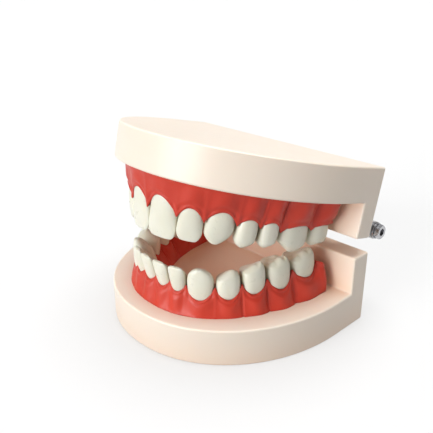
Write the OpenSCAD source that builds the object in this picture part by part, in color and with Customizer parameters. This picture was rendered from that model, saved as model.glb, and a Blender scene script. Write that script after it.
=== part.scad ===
// Dental study model: two D-shaped bases with red gum arches and 28 removable
// teeth, joined at the back by a chrome hinge.  Drawn open, as it stands on a desk.
//
// Axes: +X to the wearer's left, -Y to the front teeth, +Z up, origin in the middle
// of the lower base's underside.  Each jaw is drawn in a frame of its own with its
// back plane at y = 0: the lower one has z = 0 at its underside and is only moved
// back by half its depth, the upper one has z = 0 at the bottom of its wall and is
// swung about the hinge axis by open_angle.

/* [Bases] */
// full width of both bases
base_w = 75; // [60:0.5:90]
// depth of both bases from the back plane to the front of the curve
base_d = 57.5; // [45:0.5:70]
// length of the straight sides ahead of the back plane
side_straight = 13; // [5:0.5:25]
// squareness of the front curve, 2 is an ellipse
front_power = 2.1; // [2:0.05:3]
// thickness of the lower plate
lower_plate_t = 11; // [6:0.1:16]
// height of the top of the lower back wall above the table
lower_wall_top = 22.7; // [16:0.1:30]
// thickness of the upper plate
upper_plate_t = 10.4; // [6:0.1:16]
// drop of the upper back wall below its plate
upper_wall_drop = 10.6; // [6:0.1:16]
// thickness of both back walls
wall_t = 7; // [4:0.1:12]

/* [Lower arch] */
// half width of the line through the lower contact points
lower_arch_w = 28; // [20:0.1:34]
// length of the lower arch line
lower_arch_l = 44.6; // [35:0.1:55]
// squareness of the lower arch line
lower_arch_power = 2.26; // [2:0.02:3]
// widths of the lower teeth, central incisor to second molar
lower_width = [5.6, 5.3, 8.3, 7.5, 7.6, 8.6, 9.8]; // [4:0.05:12]
// cheek to tongue depths of the lower teeth
lower_depth = [5.6, 5.8, 7, 7.2, 7.8, 8.8, 8.8]; // [4:0.05:12]
// heights of the lower gum line above the table
lower_margin = [17.4, 17.4, 15.8, 16.1, 16.8, 16.3, 17.1]; // [14:0.1:22]
// heights of the lower biting edges above the table
lower_edge = [25.3, 25.1, 25, 24, 25.6, 25.4, 25.3]; // [20:0.1:30]
// outward lean of the lower crowns
lower_tilt = [13, 10, 3, 0, 0, 0, 0]; // [-15:0.5:20]

/* [Upper arch] */
// half width of the line through the upper contact points
upper_arch_w = 29.5; // [20:0.1:36]
// length of the upper arch line
upper_arch_l = 47.2; // [35:0.1:55]
// squareness of the upper arch line
upper_arch_power = 2.1; // [2:0.02:3]
// widths of the upper teeth, central incisor to second molar
upper_width = [9.8, 7.4, 8.8, 6.6, 6.4, 11, 8.4]; // [4:0.05:12]
// cheek to tongue depths of the upper teeth
upper_depth = [7, 6.2, 7.8, 8, 8.2, 9.8, 9.4]; // [4:0.05:12]
// depths of the upper gum line above the bottom of the upper wall
upper_margin = [5.2, 3.8, 4.2, 3.1, 2.8, 2.3, 2.4]; // [0:0.1:9]
// heights of the upper biting edges, minus is below the bottom of the upper wall
upper_edge = [-6.7, -5.6, -5.2, -5.3, -4.7, -5.9, -4.2]; // [-9:0.1:0]
// outward lean of the upper crowns, minus is inward
upper_tilt = [-10, -10, -8, -3, 0, 0, 0]; // [-15:0.5:15]

/* [Teeth and gums] */
// distance from the back plane to the widest point of both arch lines
arch_back = 6; // [2:0.1:12]
// length of a tooth's root stub in its socket
root_len = 4.2; // [2:0.1:6]
// clearance of a root stub in its socket
socket_gap = 0.06; // [0.03:0.01:0.2]
// gap left between two neighbouring crowns
crown_gap = 0.08; // [0.04:0.01:0.3]
// distance of the gum ends ahead of the back plane
gum_end = 9.2; // [7.5:0.1:14]
// width of a gum arch at its foot
gum_foot_w = 11.6; // [8:0.1:14]
// width of a gum arch along its crest
gum_crest_w = 8.6; // [6:0.1:12]

/* [Hinge] */
// angle of the upper jaw above parallel, as drawn
open_angle = 13.9; // [5:0.1:90]
// distance of the hinge axis behind the back plane of the lower base
pin_back = 6.6; // [4:0.1:10]
// height of the hinge axis above the table
pin_h = 26.8; // [22:0.1:32]
// hinge axis behind the back plane of the upper base
pin_back_upper = 7; // [4:0.1:10]
// hinge axis above the bottom of the upper wall
pin_above_wall = 1.2; // [0:0.1:4]
// diameter of the hinge pin
pin_d = 3; // [2:0.1:5]
// radial clearance of the pin in the lower bracket
run_gap = 0.05; // [0.02:0.01:0.1]
// distance between the outer faces of the two upper brackets
bracket_span = 70.4; // [40:0.2:74]
// thickness of the bracket plates
plate_t = 1.6; // [1:0.1:3]
// outside diameter of the eyes round the pin
eye_d = 5.4; // [4:0.1:8]
// length of the lower bracket along the pin
knuckle_len = 22; // [10:0.5:40]
// outside diameter of the lower bracket's knuckle
knuckle_d = 5.8; // [4:0.1:9]
// diameter of the screw shanks
screw_d = 2.4; // [1.5:0.1:4]
// depth of the screws in the plastic
screw_len = 5; // [3:0.5:6.5]
// diameter of the screw heads
screw_head_d = 4.4; // [3:0.1:6]

/* [Hidden] */
half_w = base_w / 2;
front_len = base_d - side_straight;
upper_top = upper_wall_drop + upper_plate_t;
arch_step = 1.5;                     // parameter step along an arch line, degrees
outline_step = 1.5;                  // parameter step along the front of a base
ring_n = 16;                         // points round a tooth
labial = 1.1;                        // bulge of a crown beyond the arch line
lean_ease = 0.04;                    // extra inward slope of a crown's sides for its lean
contact_share = 0.55;                // height of the lower contact points on the crowns
head_t = 1.5;                        // thickness of the pin's head and of its nut
head_d = 4.6;                        // across the corners of the pin's head
washer_t = 0.6;                      // thickness of the washers on the pin
pin_face = bracket_span / 2;         // outer face of an upper bracket
lower_screw_x = 7.5;                 // screws of the lower bracket, either side
lower_screw_z = [11.8, 16.2];        // and their heights
upper_screw_z = [4.6, 9.4];          // screws of an upper bracket above the wall's bottom
upper_screw_in = 5.2;                // and their distance inside its outer face
flange_w = 8.6;                      // width of an upper bracket's flange
screw_head_t = 1.25;                 // height of the screw heads
step_gap = 0.05;                     // gap under parts that rest on another piece

// ---------------------------------------------------------------- curves

// a signed power, for superellipses
function spow(v, p) = sign(v) * pow(abs(v), p);

// outline of a base, counter-clockwise, back edge on y = 0
function base_outline() = concat(
  [[-half_w, 0]],
  [for (t = [0 : outline_step : 180])
    [-half_w * spow(cos(t), 2 / front_power),
     -side_straight - front_len * spow(sin(t), 2 / front_power)]],
  [[half_w, 0]]
);

// points along one half of an arch line, front to back
function arch_points(w, l, p) = [for (t = [0 : arch_step : 90])
  [w * pow(sin(t), 2 / p), -arch_back - l * pow(cos(t), 2 / p)]];

// rows of [distance along the line, x, y] for a list of points
function along(pts, i = 1, s = 0, rows = undef) =
  let (r = rows == undef ? [[0, pts[0][0], pts[0][1]]] : rows)
  i == len(pts) ? r :
  let (d = s + norm(pts[i] - pts[i - 1]))
  along(pts, i + 1, d, concat(r, [[d, pts[i][0], pts[i][1]]]));

lower_line = along(arch_points(lower_arch_w, lower_arch_l, lower_arch_power));
upper_line = along(arch_points(upper_arch_w, upper_arch_l, upper_arch_power));

// place on a line at distance s, left side for plus, right side for minus
function place_x(line, s) = sign(s) * lookup(abs(s), [for (r = line) [r[0], r[1]]]);
function place_y(line, s) = lookup(abs(s), [for (r = line) [r[0], r[2]]]);
function place(line, s) = [place_x(line, s), place_y(line, s)];

// unit vector pointing out of the arch at distance s
function outward(line, s) =
  let (h = 1.5, d = place(line, s + h) - place(line, s - h))
  [d[1], -d[0]] / norm(d);

// distance from the midline to the middle of tooth i
function sum_to(v, i) = i < 0 ? 0 : v[i] + sum_to(v, i - 1);
function mid_of(widths, i) = sum_to(widths, i - 1) + widths[i] / 2;

// inward slope of the two sides of tooth i, front side then back side, which lets
// neighbours on a curve stand side by side
function side_slope(line, widths, i) =
  let (s = mid_of(widths, i), v = outward(line, s))
  [for (e = [-1, 1]) let (u = outward(line, max(0.01, s + e * widths[i] / 2)))
    lean_ease + abs(v[0] * u[1] - v[1] * u[0]) / (v * u)];

// distance along a line at which it comes within gum_end of the back plane
function end_of(line) = lookup(-gum_end, [for (r = line) [r[2], r[0]]]);

// ---------------------------------------------------------------- solids from rings

// closed skin over rings of n points each; the rings run up the solid
module skin(rings) {
  n = len(rings[0]);
  m = len(rings);
  pts = concat([for (r = rings) each r],
               [centre_of(rings[0]), centre_of(rings[m - 1])]);
  sides = [for (j = [0 : m - 2]) for (k = [0 : n - 1])
    let (a = j * n + k, b = j * n + (k + 1) % n)
    each [[a, b + n, b], [a, a + n, b + n]]];
  foot = [for (k = [0 : n - 1]) [m * n, k, (k + 1) % n]];
  head = [for (k = [0 : n - 1]) [m * n + 1, (m - 1) * n + (k + 1) % n, (m - 1) * n + k]];
  polyhedron(points = pts, faces = concat(sides, foot, head), convexity = 6);
}

function centre_of(ring) = [for (c = [0 : 2]) sum_col(ring, c) / len(ring)];
function sum_col(ring, c) = [for (p = ring) 1] * [for (p = ring) p[c]];

// ---------------------------------------------------------------- teeth

// Sections of a crown from the gum line up: height and half sizes as shares of the
// crown's height, width and depth, then the setback of its cheek side in mm.
function incisor_rings() = [
  [0.10, 0.435, 0.49, 0.10], [0.40, 0.485, 0.42, 0],
  [0.72, 0.495, 0.26, 0.10], [0.94, 0.465, 0.12, 0.40], [1, 0.43, 0.07, 0.55]];
function canine_rings() = [
  [0.10, 0.435, 0.49, 0.10], [0.38, 0.485, 0.46, 0],
  [0.64, 0.49, 0.36, 0.15], [0.86, 0.29, 0.19, 0.60], [1, 0.07, 0.05, 1.1]];
function premolar_rings() = [
  [0.10, 0.44, 0.47, 0.15], [0.42, 0.49, 0.50, 0],
  [0.72, 0.485, 0.46, 0.45], [0.98, 0.38, 0.34, 1.5]];
function molar_rings() = [
  [0.10, 0.455, 0.47, 0.15], [0.42, 0.49, 0.50, 0],
  [0.74, 0.485, 0.46, 0.45], [0.98, 0.42, 0.37, 1.4]];

function crown_rings(kind) = kind == 0 ? incisor_rings() : kind == 1 ? canine_rings() :
  kind == 2 ? premolar_rings() : molar_rings();
function kind_of(i) = i < 2 ? 0 : i == 2 ? 1 : i < 5 ? 2 : 3;

// drop of the rim of a back tooth round its edge, as a share of the crown's height;
// t = 90 is the cheek side
function cusp_drop(kind, t) =
  kind == 2 ? 0.20 * pow(cos(t), 2) + 0.16 * (1 - sin(t)) / 2 :
  kind == 3 ? 0.05 * (1 - cos(4 * (t - 45))) + 0.14 * (1 - sin(t)) / 2 : 0;

function ring(a, b, y, z, p = 2) = [for (k = [0 : ring_n - 1]) let (t = 360 * k / ring_n)
  [a * spow(cos(t), 2 / p), y + b * spow(sin(t), 2 / p), z]];

// half sizes of a root stub
function root_a(w) = 0.37 * w;
function root_b(d) = 0.42 * d;
function root_y(d) = labial - 0.35 - root_b(d);

// a ring with its two sides drawn in behind the arch line, by slope [at +X, at -X]
function drawn_in(pts, half, slope) = [for (p = pts)
  let (k = (p[0] > 0 ? slope[0] : slope[1]) * max(0, -p[1]) / half)
  [p[0] * (1 - k), p[1], p[2]]];

// One tooth in its own frame: origin on the arch line at the gum line, +Z to the
// biting edge, +Y to the cheek, X along the arch.  grow thickens it all round, which
// gives the shape of its socket.
module tooth_shape(i, w, d, crown, slope, grow = 0) {
  kind = kind_of(i);
  squareness = kind < 2 ? 2.3 : 2.7;
  rows = crown_rings(kind);
  wn = w - crown_gap;
  g = grow;
  crown_part = [for (j = [0 : len(rows) - 1])
    let (q = rows[j], top = j == len(rows) - 1, b = q[2] * d, y = labial - q[3] - b)
    drawn_in([for (p = ring(q[1] * wn + g, b + g, y, q[0] * crown, squareness))
      let (t = atan2(p[1] - y, p[0]))
      p - [0, 0, top ? cusp_drop(kind, t) * crown : 0]], w / 2, slope)];
  root_part = [
    ring(root_a(w) * 0.9 + g, root_b(d) * 0.9 + g, root_y(d), -root_len - g),
    ring(root_a(w) + g, root_b(d) + g, root_y(d), -root_len + 0.8),
    drawn_in(ring(root_a(w) + g, root_b(d) + g, root_y(d), 0), w / 2, slope)];
  last = rows[len(rows) - 1];
  y_mid = labial - last[3] - last[2] * d;
  basin = kind < 2 ? [] :
    [ring(last[1] * wn * 0.45, last[2] * d * 0.45, y_mid, 0.74 * crown)];
  skin(concat(root_part, crown_part, basin));
}

// put a lower tooth or its socket at its place on the left side, leaning about its
// contact points
module lower_place(i) {
  s = mid_of(lower_width, i);
  v = outward(lower_line, s);
  h = contact_share * (lower_edge[i] - lower_margin[i]);
  translate(concat(place(lower_line, s), [lower_margin[i] + h]))
    rotate([0, 0, atan2(v[1], v[0]) - 90])
      rotate([-lower_tilt[i], 0, 0])
        translate([0, 0, -h]) children();
}

// the same for the upper jaw, crown down and leaning about its gum line
module upper_place(i) {
  s = mid_of(upper_width, i);
  v = outward(upper_line, s);
  translate(concat(place(upper_line, s), [upper_margin[i]]))
    rotate([0, 0, atan2(v[1], v[0]) - 90])
      rotate([0, 180, 0])
        rotate([-upper_tilt[i], 0, 0])
          children();
}

module lower_tooth(i, grow = 0) {
  lower_place(i)
    tooth_shape(i, lower_width[i], lower_depth[i], lower_edge[i] - lower_margin[i],
                side_slope(lower_line, lower_width, i), grow);
}

module upper_tooth(i, grow = 0) {
  e = side_slope(upper_line, upper_width, i);
  upper_place(i)
    tooth_shape(i, upper_width[i], upper_depth[i], upper_margin[i] - upper_edge[i],
                [e[1], e[0]], grow);
}

// put a piece of the lower jaw at its place over the origin
module lower_jaw() {
  translate([0, base_d / 2, 0]) children();
}

// swing a piece of the upper jaw from its own frame to its place above the lower jaw
module upper_jaw() {
  lower_jaw()
    translate([0, pin_back, pin_h])
      rotate([-open_angle, 0, 0])
        translate([0, -pin_back_upper, -pin_above_wall])
          children();
}

module left_lower(i) { color([0.95, 0.94, 0.87]) lower_jaw() lower_tooth(i); }
module right_lower(i) {
  color([0.95, 0.94, 0.87]) lower_jaw() mirror([1, 0, 0]) lower_tooth(i);
}
module left_upper(i) { color([0.95, 0.94, 0.87]) upper_jaw() upper_tooth(i); }
module right_upper(i) {
  color([0.95, 0.94, 0.87]) upper_jaw() mirror([1, 0, 0]) upper_tooth(i);
}

module lower_left_central() { left_lower(0); }
module lower_left_lateral() { left_lower(1); }
module lower_left_canine() { left_lower(2); }
module lower_left_premolar_1() { left_lower(3); }
module lower_left_premolar_2() { left_lower(4); }
module lower_left_molar_1() { left_lower(5); }
module lower_left_molar_2() { left_lower(6); }
module lower_right_central() { right_lower(0); }
module lower_right_lateral() { right_lower(1); }
module lower_right_canine() { right_lower(2); }
module lower_right_premolar_1() { right_lower(3); }
module lower_right_premolar_2() { right_lower(4); }
module lower_right_molar_1() { right_lower(5); }
module lower_right_molar_2() { right_lower(6); }
module upper_left_central() { left_upper(0); }
module upper_left_lateral() { left_upper(1); }
module upper_left_canine() { left_upper(2); }
module upper_left_premolar_1() { left_upper(3); }
module upper_left_premolar_2() { left_upper(4); }
module upper_left_molar_1() { left_upper(5); }
module upper_left_molar_2() { left_upper(6); }
module upper_right_central() { right_upper(0); }
module upper_right_lateral() { right_upper(1); }
module upper_right_canine() { right_upper(2); }
module upper_right_premolar_1() { right_upper(3); }
module upper_right_premolar_2() { right_upper(4); }
module upper_right_molar_1() { right_upper(5); }
module upper_right_molar_2() { right_upper(6); }

// ---------------------------------------------------------------- gums

// height of the gum line at distance s along an arch, from the teeth's own values
function margin_at(widths, margins, s) =
  lookup(abs(s), [for (i = [0 : 6]) [mid_of(widths, i), margins[i]]]);

// One section across a gum arch, from the outer foot over the crest to the inner
// foot.  out_foot is how far the outer foot stands beyond the arch line.
function gum_section(line, s, foot_z, crest_z, out_foot, squeeze) =
  let (
    c = place(line, s), v = outward(line, s),
    rise = crest_z - foot_z,
    out_top = 0.9,
    shape = [[out_foot, 0], [mix(out_foot, out_top, 0.55), 0.5], [out_top, 0.85],
             [out_top - 0.9, 1], [out_top - gum_crest_w + 0.9, 1],
             [out_top - gum_crest_w, 0.85],
             [mix(out_foot - gum_foot_w, out_top - gum_crest_w, 0.55), 0.45],
             [out_foot - gum_foot_w, 0]],
    mid = out_foot - gum_foot_w / 2)
  [for (q = shape)
    let (off = mid + (q[0] - mid) * squeeze, z = foot_z + q[1] * rise * mix(0.8, 1, squeeze))
    [c[0] + v[0] * off, c[1] + v[1] * off, z]];

function mix(a, b, t) = a + (b - a) * t;

// a whole gum arch as a skin over its sections, right end to left end
module gum_arch(line, widths, margins, foot_z, lift, front_out, side_out) {
  s_end = end_of(line);
  w = line[len(line) - 1][1];
  steps = 44;
  turn = foot_z < margins[0] ? -1 : 1;   // keeps the skin's faces pointing outwards
  stops = turn * concat([-s_end - 0.9], [for (k = [0 : steps]) s_end * (2 * k / steps - 1)],
                        [s_end + 0.9]);
  skin([for (s = stops)
    let (x = place(line, s)[0] / w, end = abs(s) > s_end)
    gum_section(line, s, foot_z, margin_at(widths, margins, s) + lift,
                mix(front_out, side_out, x * x), end ? 0.72 : 1)]);
}

module lower_gum() {
  color([0.78, 0.28, 0.23]) lower_jaw()
    difference() {
      gum_arch(lower_line, lower_width, lower_margin, lower_plate_t, 0.2, 1.4, 2.9);
      for (side = [0, 1]) mirror([side, 0, 0])
        for (i = [0 : 6]) lower_tooth(i, socket_gap);
    }
}

module upper_gum() {
  color([0.78, 0.28, 0.23]) upper_jaw()
    difference() {
      gum_arch(upper_line, upper_width, upper_margin, upper_wall_drop, -0.2, 2.8, 3.4);
      for (side = [0, 1]) mirror([side, 0, 0])
        for (i = [0 : 6]) upper_tooth(i, socket_gap);
    }
}

// ---------------------------------------------------------------- bases

module rear_band(h) {
  translate([-half_w, -wall_t, 0]) cube([base_w, wall_t, h]);
}

// holes from the back plane for screws at the given x places and heights
module screw_holes(xs, zs) {
  for (x = xs) for (z = zs)
    translate([x, 0.01, z]) rotate([90, 0, 0])
      cylinder(d = screw_d + 2 * run_gap, h = screw_len + 0.3, $fn = 32);
}

upper_screw_x = pin_face - upper_screw_in;

module lower_base() {
  color([0.93, 0.83, 0.75]) lower_jaw()
    difference() {
      union() {
        linear_extrude(lower_plate_t) polygon(base_outline());
        rear_band(lower_wall_top);
      }
      screw_holes([-lower_screw_x, lower_screw_x], lower_screw_z);
    }
}

module upper_base() {
  color([0.93, 0.83, 0.75]) upper_jaw()
    difference() {
      union() {
        translate([0, 0, upper_wall_drop]) linear_extrude(upper_plate_t)
          polygon(base_outline());
        rear_band(upper_top);
      }
      screw_holes([-upper_screw_x, upper_screw_x], upper_screw_z);
    }
}

// ---------------------------------------------------------------- hinge

// a solid running along X from x0, drawn as a profile in the Y-Z plane
module along_x(x0, length) {
  translate([x0, 0, 0]) rotate([90, 0, 90]) linear_extrude(length) children();
}

// a round-headed screw entering the wall along -Y, head on the plane y = plate_t
module wall_screw() {
  rotate([90, 0, 0]) translate([0, 0, -plate_t]) {
    cylinder(d = screw_d, h = screw_len + plate_t, $fn = 32);
    difference() {
      translate([0, 0, -screw_head_t]) intersection() {
        cylinder(d = screw_head_d, h = screw_head_t, $fn = 48);
        translate([0, 0, 3.05]) sphere(r = 3.2, $fn = 48);
      }
      for (a = [0, 90]) rotate([0, 0, a])
        translate([-1.2, -0.25, -2 * screw_head_t]) cube([2.4, 0.5, 1.6 * screw_head_t]);
    }
  }
}

// profile of the lower bracket: flange on the wall, leaf up and back to the knuckle
module lower_bracket_profile() {
  flange_top = lower_wall_top - 1;
  difference() {
    union() {
      translate([step_gap, 9]) square([plate_t, flange_top - 9]);
      polygon([[step_gap, flange_top - 1.2], [step_gap + plate_t, flange_top - 1.2 - plate_t],
               [pin_back + 0.9, pin_h - 1.6], [pin_back - 1.6, pin_h - 0.4]]);
      translate([pin_back, pin_h]) circle(d = knuckle_d, $fn = 64);
    }
    translate([pin_back, pin_h]) circle(d = pin_d + 2 * run_gap, $fn = 64);
  }
}

module lower_bracket() {
  color([0.8, 0.8, 0.82]) lower_jaw()
    difference() {
      along_x(-knuckle_len / 2, knuckle_len) lower_bracket_profile();
      for (x = [-lower_screw_x, lower_screw_x]) for (z = lower_screw_z)
        translate([x, 5, z]) rotate([90, 0, 0])
          cylinder(d = screw_d + 2 * run_gap, h = 6, $fn = 32);
    }
}

module lower_bracket_screws() {
  color([0.7, 0.7, 0.72]) lower_jaw()
    for (x = [-lower_screw_x, lower_screw_x]) for (z = lower_screw_z)
      translate([x, 2 * step_gap, z]) wall_screw();
}

// one upper bracket on the left side, in the upper jaw's frame
module upper_bracket_shape() {
  low = 2.4;
  high = 12.4;
  eye_top = pin_above_wall + eye_d / 2;
  difference() {
    union() {
      along_x(pin_face - flange_w, flange_w)
        translate([step_gap, low]) square([plate_t, high - low]);
      along_x(pin_face - plate_t, plate_t) {
        polygon([[step_gap, low], [pin_back_upper - 1.2, pin_above_wall - 2.2],
                 [pin_back_upper, eye_top], [plate_t + 1.2, eye_top + 0.3],
                 [plate_t, eye_top + 1.5], [step_gap, eye_top + 1.5]]);
        translate([pin_back_upper, pin_above_wall]) circle(d = eye_d, $fn = 64);
      }
    }
    translate([pin_face - plate_t - 1, pin_back_upper, pin_above_wall]) rotate([0, 90, 0])
      cylinder(d = pin_d + 2 * socket_gap, h = plate_t + 2, $fn = 64);
    for (z = upper_screw_z)
      translate([upper_screw_x, 5, z]) rotate([90, 0, 0])
        cylinder(d = screw_d + 2 * run_gap, h = 6, $fn = 32);
  }
}

module upper_bracket_left() {
  color([0.8, 0.8, 0.82]) upper_jaw() upper_bracket_shape();
}

module upper_bracket_right() {
  color([0.8, 0.8, 0.82]) upper_jaw() mirror([1, 0, 0]) upper_bracket_shape();
}

module upper_bracket_screws() {
  color([0.7, 0.7, 0.72]) upper_jaw()
    for (x = [-upper_screw_x, upper_screw_x]) for (z = upper_screw_z)
      translate([x, 2 * step_gap, z]) wall_screw();
}

// a six-sided block round the X axis with a bevelled outer edge
module hex_block(t) {
  rotate([0, 90, 0]) intersection() {
    cylinder(d = head_d, h = t, $fn = 6);
    cylinder(d1 = head_d + 1.6, d2 = head_d - 0.4, h = t, $fn = 96);
  }
}

// place on the hinge axis; the upper jaw's own frame is used so that the pin turns
// with the upper brackets
module on_axis() {
  upper_jaw() translate([0, pin_back_upper, pin_above_wall]) children();
}

module hinge_pin() {
  head_x = pin_face + washer_t + 2 * step_gap;
  color([0.82, 0.82, 0.84]) on_axis()
    difference() {
      union() {
        translate([-head_x - head_t - 0.4, 0, 0]) rotate([0, 90, 0])
          cylinder(d = pin_d, h = 2 * head_x + head_t + 0.4 + 0.2, $fn = 64);
        translate([head_x, 0, 0]) hex_block(head_t);
      }
      translate([head_x + head_t - 0.9, 0, 0]) rotate([0, 90, 0])
        cylinder(d = 2.5, h = 2, $fn = 6);
    }
}

module hinge_nut() {
  nut_x = pin_face + washer_t + 2 * step_gap;
  color([0.82, 0.82, 0.84]) on_axis()
    mirror([1, 0, 0]) difference() {
      translate([nut_x, 0, 0]) hex_block(head_t);
      translate([nut_x - 1, 0, 0]) rotate([0, 90, 0])
        cylinder(d = pin_d + 2 * run_gap, h = head_t + 3, $fn = 96);
    }
}

module hinge_washers() {
  color([0.75, 0.75, 0.77]) on_axis()
    for (side = [0, 1]) mirror([side, 0, 0])
      translate([pin_face + step_gap, 0, 0]) rotate([0, 90, 0])
        difference() {
          cylinder(d = 4.9, h = washer_t, $fn = 64);
          translate([0, 0, -1]) cylinder(d = pin_d + 2 * run_gap, h = 3, $fn = 64);
        }
}

// ---------------------------------------------------------------- drawing

lower_base();
lower_gum();
upper_base();
upper_gum();
lower_left_central();
lower_left_lateral();
lower_left_canine();
lower_left_premolar_1();
lower_left_premolar_2();
lower_left_molar_1();
lower_left_molar_2();
lower_right_central();
lower_right_lateral();
lower_right_canine();
lower_right_premolar_1();
lower_right_premolar_2();
lower_right_molar_1();
lower_right_molar_2();
upper_left_central();
upper_left_lateral();
upper_left_canine();
upper_left_premolar_1();
upper_left_premolar_2();
upper_left_molar_1();
upper_left_molar_2();
upper_right_central();
upper_right_lateral();
upper_right_canine();
upper_right_premolar_1();
upper_right_premolar_2();
upper_right_molar_1();
upper_right_molar_2();
hinge_pin();
hinge_nut();
hinge_washers();
lower_bracket();
lower_bracket_screws();
upper_bracket_left();
upper_bracket_right();
upper_bracket_screws();
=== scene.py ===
import math
from types import SimpleNamespace

import bmesh
import bpy
from mathutils import Matrix, Vector


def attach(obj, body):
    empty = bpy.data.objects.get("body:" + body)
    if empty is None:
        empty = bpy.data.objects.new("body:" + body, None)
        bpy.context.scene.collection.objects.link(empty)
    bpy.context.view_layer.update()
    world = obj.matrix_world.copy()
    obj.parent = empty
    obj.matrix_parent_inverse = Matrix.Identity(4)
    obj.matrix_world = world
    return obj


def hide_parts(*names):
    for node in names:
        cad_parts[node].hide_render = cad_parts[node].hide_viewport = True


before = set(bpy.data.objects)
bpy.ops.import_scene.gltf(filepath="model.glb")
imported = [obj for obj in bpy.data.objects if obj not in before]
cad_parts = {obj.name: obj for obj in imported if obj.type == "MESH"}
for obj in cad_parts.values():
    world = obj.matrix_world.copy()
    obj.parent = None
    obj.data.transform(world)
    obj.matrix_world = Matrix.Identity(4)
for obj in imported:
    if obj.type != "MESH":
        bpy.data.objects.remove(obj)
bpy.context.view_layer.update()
MM = 0.001
TO_METRES = Matrix.Scale(MM, 4)

# ---------------------------------------------------------------- sizes, mm and degrees

BASE_W = 75.0
BASE_D = 57.5
SIDE_STRAIGHT = 13.0        # straight stretch of the outline's sides, from the back edge
FRONT_POWER = 2.1           # squareness of the outline's front, 2 for an ellipse
LOWER_PLATE_T = 11.0
LOWER_WALL_TOP = 22.7
UPPER_PLATE_T = 10.4
UPPER_WALL_DROP = 10.6
WALL_T = 7.0
EDGE_ROUND = 0.55

ARCH_BACK = 6.0             # from the back edge to the end of the arch lines
GUM_END = 9.2               # from the back edge to the end of the gums
LABIAL = 1.1                # how far the cheek sides of the teeth stand outside the line
CROWN_GAP = 0.08
LEAN_EASE = 0.04            # taper of the crowns towards the tongue, past what the arch needs

OPEN_ANGLE = 13.9
PIN_BACK, PIN_H = 6.6, 26.8
PIN_BACK_UPPER, PIN_ABOVE_WALL = 7.0, 1.2

# What each jaw's sizes mean. Rows of seven go from the central incisor to the second molar,
# and the row of papillae starts at the midline and ends behind the second molar.
#   line             half width, length and squareness of the arch line
#   up               1 where the crowns point up, -1 where they point down
#   width, depth     of each tooth, along the line and across it
#   margin, papilla  heights of the gum's edge, at each tooth's middle and between the teeth
#   edge             heights of the biting edges
#   tilt, pivot      lean of each crown, outwards above 0, and the share of its height at
#                    which it turns
#   zenith           place along each tooth where the gum's edge is deepest, -1 to 1
#   relief, lobes    swell of the gum over the roots, in front and behind, and the numbers
#                    of the teeth between which the one becomes the other
#   heel             swell of the gum beside the last molar
#   end_rise         hump of the gum's end behind the last molar
#   end_lean         how far the end's foot stands forward of its crest
#   end_round        length over which the end narrows
#   end_drop         share of its height that the end loses
#   foot_z, foot_w   height and width of the gum's foot
#   foot_out         place of the foot outside the line, in front and at the sides
LOWER = {
    "name": "lower", "body": "lower_jaw", "line": (28.0, 44.6, 2.26), "up": 1.0,
    "width": (5.6, 5.3, 8.3, 7.5, 7.6, 8.6, 9.8),
    "depth": (5.6, 5.8, 7.0, 7.2, 7.8, 8.8, 8.8),
    "margin": (17.4, 17.4, 15.8, 16.1, 16.8, 16.3, 17.1),
    "papilla": (20.1, 20.0, 19.7, 19.8, 20.2, 20.5, 20.9, 20.8),
    "edge": (25.3, 25.1, 25.0, 24.0, 25.6, 25.4, 25.3),
    "tilt": (13.0, 10.0, 3.0, 0.0, 0.0, 0.0, 0.0), "pivot": 0.55,
    "zenith": (0.0, 0.0, 0.0, 0.0, -0.1, 0.1, 0.28),
    "relief": (0.55, 1.0), "lobes": (2.5, 5.0), "heel": 1.3,
    "end_rise": 0.4, "end_lean": 0.0, "end_round": 3.0, "end_drop": 0.36,
    "foot_z": LOWER_PLATE_T, "foot_out": (1.5, 2.9), "foot_w": 11.6,
}
UPPER = {
    "name": "upper", "body": "upper_jaw", "line": (29.5, 47.2, 2.1), "up": -1.0,
    "width": (9.8, 7.4, 8.8, 6.6, 6.4, 11.0, 8.4),
    "depth": (7.0, 6.2, 7.8, 8.0, 8.2, 9.8, 9.4),
    "margin": (5.2, 3.8, 4.2, 3.1, 2.8, 2.3, 2.4),
    "papilla": (0.6, 0.3, 0.4, 0.7, 0.7, -0.1, 0.6, 1.6),
    "edge": (-6.7, -5.6, -5.2, -5.3, -4.7, -5.9, -4.2),
    "tilt": (-10.0, -10.0, -8.0, -3.0, 0.0, 0.0, 0.0), "pivot": 0.0,
    "zenith": (-0.12, 0.0, 0.1, 0.0, 0.0, 0.25, 0.0),
    "relief": (0.5, 1.3), "lobes": (3.2, 5.3), "heel": 1.6,
    "end_rise": 0.0, "end_lean": 3.6, "end_round": 1.9, "end_drop": 0.12,
    "foot_z": UPPER_WALL_DROP, "foot_out": (2.8, 2.7), "foot_w": 11.6,
}
TEETH = ("central", "lateral", "canine", "premolar_1", "premolar_2", "molar_1", "molar_2")
CANINE = 2                  # teeth before it are incisors, those after it chew

LOWER_PLACE = Matrix.Translation((0, BASE_D / 2, 0))
UPPER_PLACE = (LOWER_PLACE @ Matrix.Translation((0, PIN_BACK, PIN_H))
               @ Matrix.Rotation(math.radians(-OPEN_ANGLE), 4, "X")
               @ Matrix.Translation((0, -PIN_BACK_UPPER, -PIN_ABOVE_WALL)))


def jaw_place(jaw):
    return LOWER_PLACE if jaw is LOWER else UPPER_PLACE


# ---------------------------------------------------------------- small helpers

def mix(a, b, t):
    return a + (b - a) * t


def clamp(v, lo=0.0, hi=1.0):
    return max(lo, min(hi, v))


def smoothstep(v, lo, hi):
    t = clamp((v - lo) / (hi - lo))
    return t * t * (3 - 2 * t)


def spow(v, p):
    return math.copysign(abs(v) ** p, v)


def soft_max(values, k):
    top = max(values)
    return top + math.log(sum(math.exp(k * (v - top)) for v in values)) / k


def soft_min(a, b, k):
    return -soft_max((-a, -b), k)


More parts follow.
